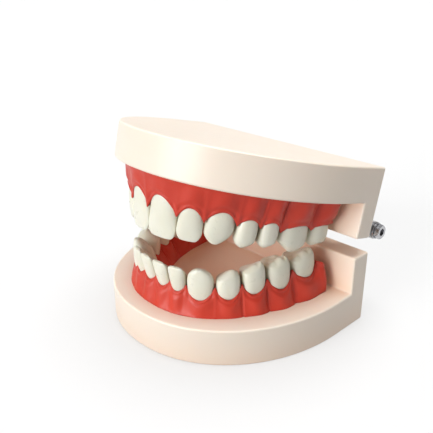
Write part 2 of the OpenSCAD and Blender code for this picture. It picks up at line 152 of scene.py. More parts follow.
def lookup(rows, x):
    """Straight-line lookup in rows of (x, value)."""
    if x <= rows[0][0]:
        return rows[0][1]
    for (x0, v0), (x1, v1) in zip(rows, rows[1:]):
        if x <= x1:
            return v0 + (v1 - v0) * (x - x0) / (x1 - x0)
    return rows[-1][1]


def flowing(rows, x):
    """The same through a smooth curve that never overshoots."""
    if x <= rows[0][0]:
        return rows[0][1]
    if x >= rows[-1][0]:
        return rows[-1][1]
    step = [(b[1] - a[1]) / (b[0] - a[0]) for a, b in zip(rows, rows[1:])]
    slope = [step[0]] + [0 if a * b <= 0 else 2 * a * b / (a + b)
                         for a, b in zip(step, step[1:])] + [step[-1]]
    i = next(k for k in range(len(rows) - 1) if x <= rows[k + 1][0])
    (x0, v0), (x1, v1) = rows[i], rows[i + 1]
    h = x1 - x0
    t = (x - x0) / h
    return ((2 * t ** 3 - 3 * t * t + 1) * v0 + (t ** 3 - 2 * t * t + t) * h * slope[i]
            + (3 * t * t - 2 * t ** 3) * v1 + (t ** 3 - t * t) * h * slope[i + 1])


def link(obj):
    bpy.context.scene.collection.objects.link(obj)
    return obj


def add_piece(name, verts, faces, matrix, body, material):
    """A smooth mesh given in millimetres in some frame, set in metres on its body."""
    mesh = bpy.data.meshes.new(name)
    mesh.from_pydata([(TO_METRES @ matrix @ Vector(v)) for v in verts], [], faces)
    mesh.validate()
    mesh.update()
    bm = bmesh.new()
    bm.from_mesh(mesh)
    bmesh.ops.recalc_face_normals(bm, faces=bm.faces)
    bm.to_mesh(mesh)
    bm.free()
    mesh.shade_smooth()
    mesh.materials.append(material)
    obj = link(bpy.data.objects.new(name, mesh))
    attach(obj, body)
    return obj


def add_bevel(obj, name, width, segments, least_turn):
    """Rounds the edges that turn by more than the given number of degrees."""
    bevel = obj.modifiers.new(name, "BEVEL")
    bevel.width = width * MM
    bevel.segments = segments
    bevel.limit_method = "ANGLE"
    bevel.angle_limit = math.radians(least_turn)
    return bevel


def loft_faces(rows, cols, close_ends=False):
    """Quads between rows of cols points each, closed round the columns."""
    faces = [(r * cols + c, r * cols + (c + 1) % cols,
              (r + 1) * cols + (c + 1) % cols, (r + 1) * cols + c)
             for r in range(rows - 1) for c in range(cols)]
    if close_ends:
        faces.append(tuple(range(cols)))
        faces.append(tuple((rows - 1) * cols + c for c in range(cols)))
    return faces


# ---------------------------------------------------------------- materials

def new_material(name):
    mat = bpy.data.materials.new(name)
    mat.use_nodes = True
    return mat, mat.node_tree.nodes, mat.node_tree.links


def noise_node(nodes, links, scale, detail=4.0, rough=0.55, stretch=None):
    """Noise over the object's own coordinates, drawn out along an axis by stretch."""
    coords = nodes.new("ShaderNodeTexCoord")
    tex = nodes.new("ShaderNodeTexNoise")
    tex.inputs["Scale"].default_value = scale
    tex.inputs["Detail"].default_value = detail
    tex.inputs["Roughness"].default_value = rough
    if stretch:
        mapping = nodes.new("ShaderNodeMapping")
        mapping.inputs["Scale"].default_value = stretch
        links.new(coords.outputs["Object"], mapping.inputs["Vector"])
        links.new(mapping.outputs["Vector"], tex.inputs["Vector"])
    else:
        links.new(coords.outputs["Object"], tex.inputs["Vector"])
    return tex.outputs["Fac"]


def ramp(nodes, links, fac, stops):
    """Colour ramp; stops is a list of (position, colour or grey value)."""
    node = nodes.new("ShaderNodeValToRGB")
    links.new(fac, node.inputs["Fac"])
    while len(node.color_ramp.elements) < len(stops):
        node.color_ramp.elements.new(0.5)
    for element, (pos, value) in zip(node.color_ramp.elements, stops):
        element.position = pos
        element.color = (*value, 1) if hasattr(value, "__len__") else (value, value, value, 1)
    return node.outputs["Color"]


def bump_from(nodes, links, heights, shader):
    """Chain of bumps; heights is a list of (socket, distance in metres, strength)."""
    last = None
    for height, distance, strength in heights:
        node = nodes.new("ShaderNodeBump")
        node.inputs["Distance"].default_value = distance
        node.inputs["Strength"].default_value = strength
        links.new(height, node.inputs["Height"])
        if last:
            links.new(last, node.inputs["Normal"])
        last = node.outputs["Normal"]
    links.new(last, shader.inputs["Normal"])


def multiply(nodes, links, a, b, fac):
    node = nodes.new("ShaderNodeMix")
    node.data_type = "RGBA"
    node.blend_type = "MULTIPLY"
    node.inputs[0].default_value = fac
    links.new(a, node.inputs[6])
    links.new(b, node.inputs[7])
    return node.outputs[2]


def painted_crevice_shade(nodes, links, distance, dark):
    """Painted shade: white in the open, dark (a colour) in tight corners, from ambient occlusion.
    """
    ao = nodes.new("ShaderNodeAmbientOcclusion")
    ao.inputs["Distance"].default_value = distance
    ao.samples = 8
    return ramp(nodes, links, ao.outputs["AO"], [(0.15, dark), (0.75, (1, 1, 1))])


def set_subsurface(shader, weight, radius, scale):
    """Light that soaks in; radius has a share for each colour, scale is in metres."""
    shader.inputs["Subsurface Weight"].default_value = weight
    shader.inputs["Subsurface Radius"].default_value = radius
    shader.inputs["Subsurface Scale"].default_value = scale


def base_plastic():
    mat, nodes, links = new_material("base_plastic")
    shader = nodes["Principled BSDF"]
    clouds = noise_node(nodes, links, scale=22.0, detail=3.0)
    tint = ramp(nodes, links, clouds, [(0.3, (0.86, 0.75, 0.635)), (0.7, (0.89, 0.78, 0.665))])
    # Painted shade and painted bounce light: the plastic turns darker and warmer in corners and
    # hollows.
    warm = painted_crevice_shade(nodes, links, 0.022, (1.0, 0.76, 0.62))
    links.new(multiply(nodes, links, tint, warm, 0.9), shader.inputs["Base Color"])
    grain = noise_node(nodes, links, scale=900.0, detail=5.0, rough=0.6)
    links.new(ramp(nodes, links, grain, [(0.3, 0.30), (0.7, 0.42)]), shader.inputs["Roughness"])
    set_subsurface(shader, 0.12, (1.0, 0.62, 0.4), 0.002)
    shader.inputs["IOR"].default_value = 1.5
    swell = noise_node(nodes, links, scale=60.0, detail=2.0)
    bump_from(nodes, links, [(swell, 0.00035, 0.12), (grain, 0.00003, 0.25)], shader)
    return mat


def tooth_enamel():
    mat, nodes, links = new_material("tooth_enamel")
    shader = nodes["Principled BSDF"]
    clouds = noise_node(nodes, links, scale=90.0, detail=4.0)
    tint = ramp(nodes, links, clouds, [(0.3, (0.79, 0.775, 0.645)), (0.7, (0.84, 0.83, 0.715))])
    # Painted shade: the enamel turns darker and browner in tight corners between crowns and at the
    # gum.
    painted_shade = painted_crevice_shade(nodes, links, 0.0016, (0.50, 0.43, 0.31))
    links.new(multiply(nodes, links, tint, painted_shade, 0.8), shader.inputs["Base Color"])
    fine = noise_node(nodes, links, scale=700.0, detail=4.0)
    links.new(ramp(nodes, links, fine, [(0.3, 0.26), (0.7, 0.36)]), shader.inputs["Roughness"])
    set_subsurface(shader, 0.25, (1.0, 0.85, 0.6), 0.0012)
    ridges = noise_node(nodes, links, scale=260.0, detail=3.0)
    bump_from(nodes, links, [(ridges, 0.00008, 0.12), (fine, 0.00003, 0.15)], shader)
    return mat


def gum_rubber():
    mat, nodes, links = new_material("gum_rubber")
    shader = nodes["Principled BSDF"]
    clouds = noise_node(nodes, links, scale=70.0, detail=4.0)
    tint = ramp(nodes, links, clouds, [(0.3, (0.53, 0.032, 0.013)), (0.7, (0.62, 0.045, 0.019))])
    # Painted shade: the gum turns darker in tight corners and hollows.
    painted_shade = painted_crevice_shade(nodes, links, 0.0030, (0.36, 0.20, 0.16))
    links.new(multiply(nodes, links, tint, painted_shade, 0.85), shader.inputs["Base Color"])
    fine = noise_node(nodes, links, scale=520.0, detail=5.0, rough=0.6)
    links.new(ramp(nodes, links, fine, [(0.3, 0.34), (0.7, 0.50)]), shader.inputs["Roughness"])
    set_subsurface(shader, 0.18, (1.0, 0.25, 0.15), 0.0015)
    shader.inputs["Specular IOR Level"].default_value = 0.46
    stipple = noise_node(nodes, links, scale=330.0, detail=4.0)
    bump_from(nodes, links, [(stipple, 0.00012, 0.22), (fine, 0.00004, 0.2)], shader)
    return mat


def metal(name, colour, rough, stretch):
    mat, nodes, links = new_material(name)
    shader = nodes["Principled BSDF"]
    streaks = noise_node(nodes, links, scale=900.0, detail=4.0, rough=0.6, stretch=stretch)
    tint = ramp(nodes, links, streaks, [(0.3, tuple(c * 0.88 for c in colour)), (0.7, colour)])
    # Painted shade: the metal turns near black in tight corners and hollows.
    painted_corner_shade = painted_crevice_shade(nodes, links, 0.0016, (0.06, 0.06, 0.065))
    links.new(multiply(nodes, links, tint, painted_corner_shade, 0.9), shader.inputs["Base Color"])
    links.new(ramp(nodes, links, streaks, [(0.3, rough), (0.7, rough + 0.10)]),
              shader.inputs["Roughness"])
    shader.inputs["Metallic"].default_value = 1.0
    wear = noise_node(nodes, links, scale=240.0, detail=3.0)
    bump_from(nodes, links, [(streaks, 0.00002, 0.25), (wear, 0.00006, 0.15)], shader)
    return mat


BASE_MAT = base_plastic()
TOOTH_MAT = tooth_enamel()
GUM_MAT = gum_rubber()
CHROME_MAT = metal("chrome", (0.50, 0.50, 0.52), 0.16, (1.0, 1.0, 1.0))
STEEL_MAT = metal("bracket_steel", (0.58, 0.57, 0.56), 0.26, (0.12, 1.0, 1.0))
SCREW_MAT = metal("screw_steel", (0.46, 0.45, 0.44), 0.22, (1.0, 0.2, 1.0))


# ---------------------------------------------------------------- bases

OUTLINE_STEPS = 120


def base_outline():
    """The D outline from the left end of the back edge round the front."""
    pts = [(-BASE_W / 2, 0.0), (-BASE_W / 2, -WALL_T)]
    front = BASE_D - SIDE_STRAIGHT
    for k in range(OUTLINE_STEPS + 1):
        t = math.pi * k / OUTLINE_STEPS
        pts.append((-BASE_W / 2 * spow(math.cos(t), 2 / FRONT_POWER),
                    -SIDE_STRAIGHT - front * spow(math.sin(t), 2 / FRONT_POWER)))
    return pts + [(BASE_W / 2, -WALL_T), (BASE_W / 2, 0.0)]


def base_faces(n):
    """Faces between the outline's n points on the plate's far face, the same points on
    its near face or the wall's edge, and the wall's two inner corners."""
    left, right = 2 * n, 2 * n + 1
    far_face = tuple(range(n))
    near_face = tuple([left] + [n + k for k in range(2, n - 2)] + [right])
    wall_edge = (n, n + 1, n + n - 2, n + n - 1)
    wall_front = (n + 1, left, right, n + n - 2)
    wall_back = (0, n - 1, n + n - 1, n)
    wall_sides = [(0, 1, left, n + 1, n), (n - 1, n - 2, right, n + n - 2, n + n - 1)]
    beside_wall = [(1, 2, n + 2, left), (n - 2, n - 3, n + n - 3, right)]
    rim = [(k, k + 1, n + k + 1, n + k) for k in range(2, n - 3)]
    return [far_face, near_face, wall_edge, wall_front, wall_back] + wall_sides + beside_wall + rim


def build_base(jaw, far_z, near_z, wall_z):
    """Plate and back wall as one moulding: far_z is the plate's face away from the wall,
    near_z its face beside the wall, and wall_z the free edge of the wall."""
    outline = base_outline()
    verts = [(x, y, far_z) for x, y in outline]
    verts += [(x, y, near_z if y < -WALL_T else wall_z) for x, y in outline]
    verts += [(-BASE_W / 2, -WALL_T, near_z), (BASE_W / 2, -WALL_T, near_z)]
    obj = add_piece(jaw["name"] + "_base_moulding", verts, base_faces(len(outline)),
                    jaw_place(jaw), jaw["body"], BASE_MAT)
    add_bevel(obj, "rounded_edges", EDGE_ROUND, segments=5, least_turn=35).harden_normals = True
    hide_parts(jaw["name"] + "_base")


# ---------------------------------------------------------------- arch lines

ARCH_STEPS = 60


def arch_rows(line):
    """Rows of (distance, x) and (distance, y) along half an arch line."""
    w, length, p = line
    pts = []
    for k in range(ARCH_STEPS + 1):
        t = math.radians(90 * k / ARCH_STEPS)
        pts.append((w * math.sin(t) ** (2 / p), -ARCH_BACK - length * abs(math.cos(t)) ** (2 / p)))
    s, xs, ys = 0.0, [(0.0, pts[0][0])], [(0.0, pts[0][1])]
    for a, b in zip(pts, pts[1:]):
        s += math.dist(a, b)
        xs.append((s, b[0]))
        ys.append((s, b[1]))
    return xs, ys


def lay_out_arch(jaw):
    """Adds the arch line, the distance at which the gum ends and where each tooth ends."""
    jaw["xs"], jaw["ys"] = arch_rows(jaw["line"])
    jaw["s_end"] = lookup([(y, s) for s, y in jaw["ys"]], -GUM_END)
    jaw["ends"] = [0.0]
    for width in jaw["width"]:
        jaw["ends"].append(jaw["ends"][-1] + width)


def place(jaw, s):
    """Point of the arch line at distance s from the midline, below 0 on the right."""
    return (math.copysign(1, s) * lookup(jaw["xs"], abs(s)), lookup(jaw["ys"], abs(s)))


def outward(jaw, s, h=1.5):
    """Unit vector across the arch line, towards the cheek, taken over 2 h of the line."""
    a, b = place(jaw, s + h), place(jaw, s - h)
    d = math.dist(a, b)
    return ((a[1] - b[1]) / d, -(a[0] - b[0]) / d)


def tooth_middle(jaw, i):
    return (jaw["ends"][i] + jaw["ends"][i + 1]) / 2


def crown_height(jaw, i):
    return (jaw["edge"][i] - jaw["margin"][i]) * jaw["up"]


def side_slopes(jaw, i):
    """Inward slope of a tooth's front side and back side."""
    v = outward(jaw, tooth_middle(jaw, i))
    slopes = []
    for e in (jaw["ends"][i], jaw["ends"][i + 1]):
        u = outward(jaw, max(0.01, e))
        slopes.append(LEAN_EASE + abs(v[0] * u[1] - v[1] * u[0]) / (v[0] * u[0] + v[1] * u[1]))
    return slopes


# ---------------------------------------------------------------- teeth

# Sections up a crown: height as a share of the crown, then half width and half depth
# as shares of the tooth's, and the setback of the cheek side in mm.
ROOT_ROW = -0.25            # the lowest section, inside the gum
FRONT_ROWS = ((ROOT_ROW, 0.41, 0.44, 0.55), (0.0, 0.450, 0.48, 0.22), (0.10, 0.475, 0.49, 0.08),
              (0.25, 0.492, 0.465, 0.0), (0.45, 0.498, 0.40, 0.0), (0.68, 0.495, 0.275, 0.12),
              (0.80, 0.484, 0.20, 0.24), (0.89, 0.455, 0.14, 0.37), (0.95, 0.408, 0.105, 0.48),
              (1.0, 0.325, 0.08, 0.56))
CANINE_ROWS = {
    "upper": ((ROOT_ROW, 0.41, 0.44, 0.55), (0.0, 0.448, 0.48, 0.22), (0.10, 0.474, 0.49, 0.08),
              (0.30, 0.495, 0.47, 0.0), (0.52, 0.497, 0.42, 0.06), (0.68, 0.455, 0.33, 0.22),
              (0.82, 0.350, 0.235, 0.45), (0.93, 0.215, 0.145, 0.72), (1.0, 0.09, 0.07, 0.95)),
    "lower": ((ROOT_ROW, 0.41, 0.44, 0.55), (0.0, 0.448, 0.48, 0.22), (0.10, 0.474, 0.49, 0.08),
              (0.30, 0.495, 0.47, 0.0), (0.55, 0.490, 0.41, 0.08), (0.74, 0.430, 0.31, 0.26),
              (0.87, 0.325, 0.215, 0.46), (0.95, 0.205, 0.15, 0.65), (1.0, 0.09, 0.08, 0.8)),
}
BACK_ROWS = ((ROOT_ROW, 0.42, 0.43, 0.65), (0.0, 0.448, 0.46, 0.30), (0.10, 0.471, 0.475, 0.14),
             (0.28, 0.493, 0.495, 0.02), (0.42, 0.497, 0.50, 0.0), (0.62, 0.490, 0.485, 0.16))
FRONT_POWERS, BACK_POWERS = 2.3, 2.7        # squareness of the sections
TIP_START, CORNER_START = 0.45, 0.70        # shares of a crown where these two start
TIP_SHIFT = {("upper", 2): 0.13, ("lower", 2): 0.06}     # canine tips towards the front
CORNER_LOSS = {("upper", 0): 0.06, ("upper", 1): 0.13}   # narrowing of the upper incisors
RING = 64
WALL_SECTIONS = 30
FRONT_CAP_RINGS, BACK_CAP_RINGS = 8, 22
CAP_SPACING = 0.8           # below 1, the rings of a back cap crowd towards its rim
EDGE_START = 0.985          # share of a front crown at which its biting edge rounds over

# Cusps of the back teeth: place towards the front and towards the cheek as shares of
# the half width and half depth, and drop below the highest cusp in mm.
CUSPS = {
    ("upper", 3): ((0.20, 0.46, 0.0), (0.12, -0.50, 1.2)),
    ("upper", 4): ((0.20, 0.46, 0.0), (0.10, -0.50, 1.0)),
    ("upper", 5): ((-0.04, 0.50, 0.0), (-0.66, 0.46, 2.3), (0.30, -0.52, 2.7),
                   (-0.50, -0.52, 2.5)),
    ("upper", 6): ((0.40, 0.50, 0.0), (-0.42, 0.48, 0.5), (0.42, -0.50, 2.0),
                   (-0.45, -0.50, 2.0)),
    ("lower", 3): ((-0.36, 0.36, 0.0), (0.0, -0.50, 2.6)),
    ("lower", 4): ((-0.80, 0.44, 0.0), (-0.05, 0.44, 1.1), (0.50, 0.40, 2.4),
                   (0.0, -0.50, 3.2)),
    ("lower", 5): ((-0.86, 0.46, 0.0), (-0.12, 0.46, 0.6), (0.42, 0.46, 1.5),
                   (0.40, -0.50, 2.8), (-0.46, -0.50, 2.1)),
    ("lower", 6): ((-0.72, 0.48, 0.0), (-0.08, 0.48, 0.8), (0.44, 0.46, 1.9),
                   (0.42, -0.50, 3.0), (-0.42, -0.50, 2.3)),
}
CUSP_SLOPE = 0.72
CUSP_ROUND = 0.4            # rounding of the cusp tips
CUSP_BLEND = 3.2            # sharpness of the grooves between cusps
FOSSA_DEPTH = {("upper", 3): 2.8, ("upper", 4): 2.8, ("upper", 5): 4.6, ("upper", 6): 2.8,
               ("lower", 3): 4.2, ("lower", 4): 3.9, ("lower", 5): 2.9, ("lower", 6): 3.1}
SHOULDER = {"upper": 0.58, "lower": 0.52}   # share of a back crown at which its dome starts
DOME_POWER = {"upper": 2.7, "lower": 3.6}
DOME_EXTRA = 0.5            # height of the dome past the cusps that cut into it
BLEND = {"upper": 4.5, "lower": 2.6}        # sharpness of the edge between dome and cusps
BLEND_LOSS = {"upper": 0.15, "lower": 0.35}     # height that the blending takes off


def tooth_rows(jaw, i):
    if i == CANINE:
        return CANINE_ROWS[jaw["name"]]
    return FRONT_ROWS if i < CANINE else BACK_ROWS


def crown_section(jaw, i, fore_side):
    """A function of height share h and size q that gives a crown's section there: its
    ring of points, and its middle across the arch."""
    w, d = jaw["width"][i], jaw["depth"][i]
    rows = tooth_rows(jaw, i)
    wide, deep, set_back = ([(r[0], r[c]) for r in rows] for c in (1, 2, 3))
    slopes = side_slopes(jaw, i)[::fore_side]
    power = FRONT_POWERS if i <= CANINE else BACK_POWERS
    tip_shift = TIP_SHIFT.get((jaw["name"], i), 0.0)
    corner = CORNER_LOSS.get((jaw["name"], i), 0.0)

    def section(h, q=1.0):
        a = flowing(wide, h) * (w - CROWN_GAP) * (1 - corner * smoothstep(h, CORNER_START, 1.0))
        b = flowing(deep, h) * d
        y_mid = LABIAL - flowing(set_back, h) - b
        shift = fore_side * tip_shift * w / 2 * smoothstep(h, TIP_START, 1.0)
        ring = []
        for k in range(RING):
            t = 2 * math.pi * k / RING
            x = q * a * spow(math.cos(t), 2 / power)
            y = y_mid + q * b * spow(math.sin(t), 2 / power)
            slope = slopes[0] if x > 0 else slopes[1]
            x *= 1 - slope * max(0.0, -y) / (w / 2)
            ring.append((x + shift, y, h * crown_height(jaw, i)))
        return ring, y_mid

    return section


def biting_height(jaw, i, x, y, y_mid):
    """Height of a back tooth's biting surface, x being the place towards its front."""
    top = crown_height(jaw, i) + BLEND_LOSS[jaw["name"]]
    heights = [top - FOSSA_DEPTH[jaw["name"], i]]
    for fore, cheek, drop in CUSPS[jaw["name"], i]:
        dx = x - fore * jaw["width"][i] / 2
        dy = y - y_mid - cheek * jaw["depth"][i] / 2
        r = math.sqrt(dx * dx + dy * dy + CUSP_ROUND ** 2) - CUSP_ROUND
        heights.append(top - drop - CUSP_SLOPE * r)
    return soft_max(heights, CUSP_BLEND)


def front_cap(jaw, i, section):
    """Rings that close the rounded biting edge of a front tooth, and its last point."""
    crown = crown_height(jaw, i)
    verts = []
    for j in range(1, FRONT_CAP_RINGS):
        q = 1 - j / FRONT_CAP_RINGS
        z = crown * mix(EDGE_START, 1.0, math.sqrt(1 - q * q))
        verts += [(x, y, z) for x, y, _ in section(EDGE_START, q)[0]]
    ring, y_mid = section(EDGE_START, 0.0)
    return verts + [(ring[0][0], y_mid, crown)]


def back_cap(jaw, i, section, fore_side):
    """Rings that close the chewing surface of a back tooth, and its last point."""
    crown, name = crown_height(jaw, i), jaw["name"]
    shoulder = SHOULDER[name]
    verts = []
    for j in range(1, BACK_CAP_RINGS):
        q = (1 - j / BACK_CAP_RINGS) ** CAP_SPACING
        dome = crown * shoulder + (crown * (1 - shoulder) + DOME_EXTRA) \
            * (1 - q ** DOME_POWER[name]) ** 0.5
        ring, y_mid = section(shoulder, q)
        verts += [(x, y, soft_min(dome, biting_height(jaw, i, x * fore_side, y, y_mid),
                                  BLEND[name])) for x, y, _ in ring]
    ring, y_mid = section(shoulder, 0.0)
    return verts + [(ring[0][0], y_mid, biting_height(jaw, i, 0.0, y_mid, y_mid))]


def build_tooth_mesh(jaw, i, fore_side):
    """Vertices and faces of a tooth; fore_side is +1 when +X is its front side."""
    section = crown_section(jaw, i, fore_side)
    top = EDGE_START if i <= CANINE else SHOULDER[jaw["name"]]
    verts = []
    for j in range(WALL_SECTIONS + 1):
        verts += section(mix(ROOT_ROW, top, j / WALL_SECTIONS))[0]
    if i <= CANINE:
        verts += front_cap(jaw, i, section)
    else:
        verts += back_cap(jaw, i, section, fore_side)
    count = len(verts) // RING
    last, tip = (count - 1) * RING, len(verts) - 1
    faces = loft_faces(count, RING) + [tuple(range(RING))]
    faces += [(last + k, last + (k + 1) % RING, tip) for k in range(RING)]
    return verts, faces


def tooth_matrix(jaw, i):
    """Place of a left tooth, turned to the arch line and leaning about its pivot."""
    s = tooth_middle(jaw, i)
    x, y = place(jaw, s)
    v = outward(jaw, s)
    spin = Matrix.Rotation(math.atan2(v[1], v[0]) - math.pi / 2, 4, "Z")
    pivot = jaw["pivot"] * crown_height(jaw, i)
    m = Matrix.Translation((x, y, jaw["margin"][i] + pivot)) @ spin
    if jaw is UPPER:
        m = m @ Matrix.Rotation(math.pi, 4, "Y")
    tilt = Matrix.Rotation(math.radians(-jaw["tilt"][i]), 4, "X")
    return m @ tilt @ Matrix.Translation((0, 0, -pivot))


def build_teeth(jaw):
    for i, tooth in enumerate(TEETH):
        verts, faces = build_tooth_mesh(jaw, i, 1 if jaw is LOWER else -1)
        for side, mirror in (("left", 1), ("right", -1)):
            m = jaw_place(jaw) @ Matrix.Diagonal((mirror, 1, 1, 1)) @ tooth_matrix(jaw, i)
            node = "_".join((jaw["name"], side, tooth))
            obj = add_piece(node + "_crown", verts, faces, m, jaw["body"], TOOTH_MAT)
            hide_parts(node)


# ---------------------------------------------------------------- gums

GUM_STATIONS = 460
GUM_SECTION = 52            # points round a section
CHEEK_POINTS, LIP_STEPS, CREST_POINTS = 19, 6, 7
RIM = 0.34                  # thickness of the rolled gum edge against a crown
RIM_STEP, INNER_RIM_STEP = 0.1, 0.05        # step from the sides to the roll
LIP = 0.30                  # height of that roll
LIP_START = 0.70            # share of the gum's height at which its side turns to the roll
COLLAR, COLLAR_AT, COLLAR_SPREAD = 0.20, 0.95, 0.045    # raised band just below the roll
CREST_LOW, CREST_LOW_BETWEEN = 1.1, 0.7     # crest below the edge, under and between crowns
CREST_INSET = 0.25          # flat of the crest, short of both rolled edges
FOOT_SINK = 0.3             # how far the gum goes into its base
CHEEK_FLARE, TONGUE_FLARE = 0.45, 0.4       # widening at the foot
NECK = 0.15                 # set-back of the crowns' cheek side at the gum's edge
NECK_DEPTH, NECK_WIDTH, NECK_POWER = 0.475, 1.06, 2.5   # crowns' section at the gum's edge
TONGUE_SHARE = 0.95         # a crown's tongue side, as a share of its depth
CHEEK_REACH, TONGUE_REACH = 1.15, 1.6       # how far the edge goes in between two crowns
TOP_OUT, ROOT_OUT = 0.25, 0.15              # top of the cheek side, and its swell at a root
HOLLOW = 0.75               # hollow under a papilla, and between two roots at the back
GROOVE_WIDTH = 0.17         # of the groove between two roots, as a share of half a tooth
LOBE_FOOT = 0.45            # swell of the foot at the back
TONGUE_RELIEF = 0.35        # swell over the roots on the tongue side, against the cheek side
INNER_SCALLOP = 0.55        # scallop of the tongue side, as a share of the cheek side's

# Stretches over which the gum changes near its ends, from the end of the last molar.
LAST_GROOVE = -1.5          # no groove between roots past here
HEEL_ZONE = (-5.0, 1.0)     # the cheek side swells
PAD_ZONE = (-0.3, 1.0)      # the top turns into a pad
HUMP_ZONE = (-0.2, 1.4)     # the end rises
HUMP_IN, HUMP_SPREAD = 1.0, 1.8     # across the gum, the rise starts this far in and grows
LEAN_START = -2.0           # the end starts to lean
LEAN_PIVOT = 0.75           # share of the height that the lean leaves in place
PAD_OUT, PAD_IN = 0.7, 0.6  # sides of the pad, against those of the last molar
END_WIDTH = 0.10            # share of the width that is left at the very end
PAST_TEETH = 3.0            # the gum's edge stays as it is from here on
END_EXTRA = 0.9             # length of the gums past GUM_END
END_FALL = 4.8              # length over which the crest falls away
END_CROWDING = 0.3          # how much closer the sections stand at the ends


def along_tooth(jaw, s):
    """Tooth number at distance s and the place along it, -1 at its front side."""
    s = min(abs(s), jaw["ends"][-1] + PAST_TEETH)
    last = len(TEETH) - 1
    i = next((k for k in range(last) if s <= jaw["ends"][k + 1]), last)
    return i, (s - tooth_middle(jaw, i)) / (jaw["width"][i] / 2)


def gum_line(jaw, s, depth=1.0):
    """Height of the gum edge on a crown, scalloped from papilla to papilla."""
    i, p = along_tooth(jaw, s)
    low = jaw["zenith"][i]
    p = (p - low) / (1 - low if p > low else 1 + low)
    papilla = jaw["papilla"][i if p < 0 else i + 1]
    return mix(jaw["margin"][i], papilla, min(1.0, abs(p)) ** 2.1 * depth)


def gum_shift(jaw, s):
    """How far the leaning crowns carry the gum edge inwards at distance s."""
    rows = [(tooth_middle(jaw, i), jaw["pivot"] * crown_height(jaw, i)
             * math.sin(math.radians(jaw["tilt"][i]))) for i in range(len(TEETH))]
    return lookup(rows, abs(s))


def crown_face(jaw, s, inner=False):
    """Offset of the crown's cheek (or tongue) face from the arch line at the gum."""
    i, p = along_tooth(jaw, s)
    b = NECK_DEPTH * jaw["depth"][i]
    near = min(1.0, abs(p) * NECK_WIDTH)
    reach = b * max(0.0, 1 - near ** NECK_POWER) ** (1 / NECK_POWER)
    mid = LABIAL - NECK - b
    return mid - reach if inner else mid + reach


def gum_sizes(jaw, s):
    """Sizes of the gum's section at distance s: shares from 0 to 1, and offsets from the
    arch line and heights in mm."""
    g = SimpleNamespace(up=jaw["up"], foot_z=jaw["foot_z"])
    i, p = along_tooth(jaw, s)
    near = min(1.0, abs(p))
    past = abs(s) - jaw["ends"][-1]
    g.between = (0.5 - 0.5 * math.cos(math.pi * near)) ** 1.6
    g.root = 0.5 + 0.5 * math.cos(math.pi * near)
    g.groove = math.exp(-((1 - near) / GROOVE_WIDTH) ** 2) * (past < LAST_GROOVE)
    g.lobe = smoothstep(i + p, *jaw["lobes"])
    g.hump = jaw["end_rise"] * smoothstep(past, *HUMP_ZONE)
    g.heel = jaw["heel"] * smoothstep(past, *HEEL_ZONE)
    g.relief = mix(*jaw["relief"], g.lobe)
    g.foot_out = mix(*jaw["foot_out"], (place(jaw, s)[0] / jaw["line"][0]) ** 2)
    g.foot_in = g.foot_out - jaw["foot_w"]
    g.edge_z, g.inner_z = gum_line(jaw, s), gum_line(jaw, s, INNER_SCALLOP)

    pad = smoothstep(past, *PAD_ZONE)
    drift = gum_shift(jaw, s)
    tongue = LABIAL - TONGUE_SHARE * jaw["depth"][i]
    out_top = max(crown_face(jaw, s), LABIAL - CHEEK_REACH) + RIM - drift
    in_top = min(crown_face(jaw, s, inner=True), tongue + TONGUE_REACH) - RIM - drift
    g.out_top = mix(out_top, LABIAL + PAD_OUT, pad)
    g.in_top = mix(in_top, tongue - RIM + PAD_IN, pad)
    g.body_top = (LABIAL + TOP_OUT - drift - HOLLOW * g.between * (1 - pad)
                  + ROOT_OUT * g.root)
    return g


def cheek_side(g):
    """From the foot up to the rolled edge: body, roots, grooves and free gum collar."""
    pts = []
    for k in range(CHEEK_POINTS):
        h = (k / (CHEEK_POINTS - 1)) ** 0.85
        swell = math.sin(math.pi * clamp(h * 1.02)) ** 0.8 + LOBE_FOOT * g.lobe * (1 - h) ** 2
        body = mix(g.foot_out, g.body_top, h ** 1.1) + g.relief * (g.root - 0.5) * swell
        body += g.heel * math.sin(math.pi * clamp(h ** 0.8 * 0.98))
        body -= HOLLOW * g.lobe * g.groove * swell
        collar = COLLAR * math.exp(-((h - COLLAR_AT) / COLLAR_SPREAD) ** 2) * (1 - 0.6 * g.between)
        foot = CHEEK_FLARE * (1 - h) ** 7
        out = mix(body, g.out_top, smoothstep(h, LIP_START, 1.0)) + collar + foot
        pts.append((out, mix(g.foot_z - FOOT_SINK * g.up, g.edge_z - LIP * g.up, h)))
    return pts


def lip(middle, edge_z, reach, up, quarters):
    """Arc of the rolled edge round its middle; quarters are turns up from the side."""
    return [(middle + reach * math.cos(a), edge_z - LIP * up + LIP * up * math.sin(a))
            for a in (math.pi / 2 * t for t in quarters)]


def crest(g):
    """The gum's crest from the cheek side's lip to the tongue side's, under the crowns."""
    under = min(g.edge_z * g.up, g.inner_z * g.up) - CREST_LOW
    z = mix(under, g.edge_z * g.up - CREST_LOW_BETWEEN, g.between) * g.up
    start = g.out_top - RIM
    span = start - (g.in_top + RIM)
    return [(start - CREST_INSET - k / (CREST_POINTS + 1) * (span - 2 * CREST_INSET), z)
            for k in range(1, CREST_POINTS + 1)]


def tongue_side(g, count):
    """From the rolled edge down to the foot."""
    pts = []
    for k in range(1, count + 1):
        h = 1 - k / count
        off = mix(g.foot_in, g.in_top, h ** 1.1)
        off -= TONGUE_RELIEF * g.relief * (g.root - 0.5) * math.sin(math.pi * h)
        off -= TONGUE_FLARE * (1 - h) ** 6
        pts.append((off, mix(g.foot_z - FOOT_SINK * g.up, g.inner_z - LIP * g.up, h)))
    return pts


